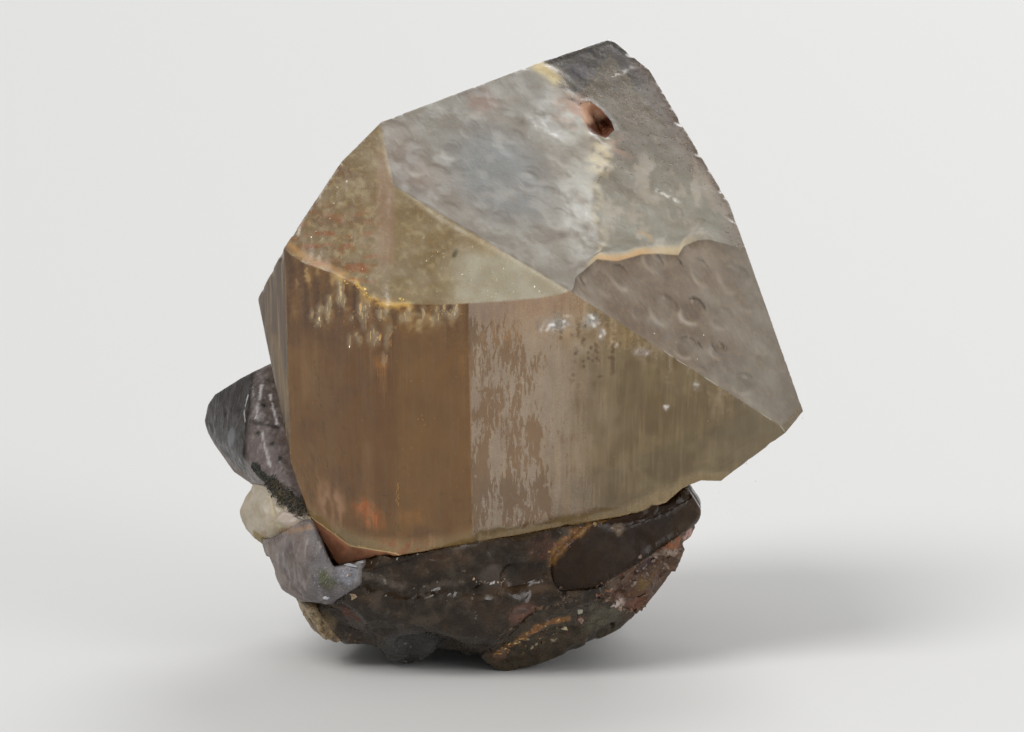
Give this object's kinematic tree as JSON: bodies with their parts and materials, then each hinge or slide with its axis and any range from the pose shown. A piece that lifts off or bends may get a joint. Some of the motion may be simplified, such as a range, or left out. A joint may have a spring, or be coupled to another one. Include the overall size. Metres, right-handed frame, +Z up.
{
  "type": "topaz crystal",
  "caption": "Natural topaz crystal, sherry brown and clear with a frosted sloping termination, standing on a small matrix of smoky quartz and feldspar.",
  "frame": {"origin": "centre of the bounding box's bottom, on the surface that the specimen rests on", "axes": "+Z up along the topaz prism, +X to the right when the specimen is seen from its front, -Y towards the viewer, where the two broad prism faces and the frosted termination face"},
  "size_m": [0.0712, 0.0546, 0.0718],
  "materials": {
    "topaz": "clear sherry-brown crystal, glassy prism faces, frosted and etched termination",
    "quartz_grey_violet": "striated, half glassy",
    "feldspar_cream": "matt, cleaved",
    "feldspar_grey": "silky cleavage",
    "feldspar_beige": "matt, cleaved",
    "quartz_smoky": "glassy, conchoidal fracture",
    "quartz_dark": "glassy, smooth fracture",
    "feldspar_iron": "granular, iron stained",
    "quartz_vein": "half glassy, with an orange vein"
  },
  "bodies": {
    "root": {"topaz_crystal": "topaz", "smoky_quartz_crystal": "quartz_grey_violet", "feldspar_cream": "feldspar_cream", "feldspar_grey": "feldspar_grey", "feldspar_plates": "feldspar_beige", "smoky_quartz_matrix": "quartz_smoky", "smoky_quartz_dark": "quartz_dark", "feldspar_iron": "feldspar_iron", "quartz_vein_block": "quartz_vein"}
  },
  "joints": []
}
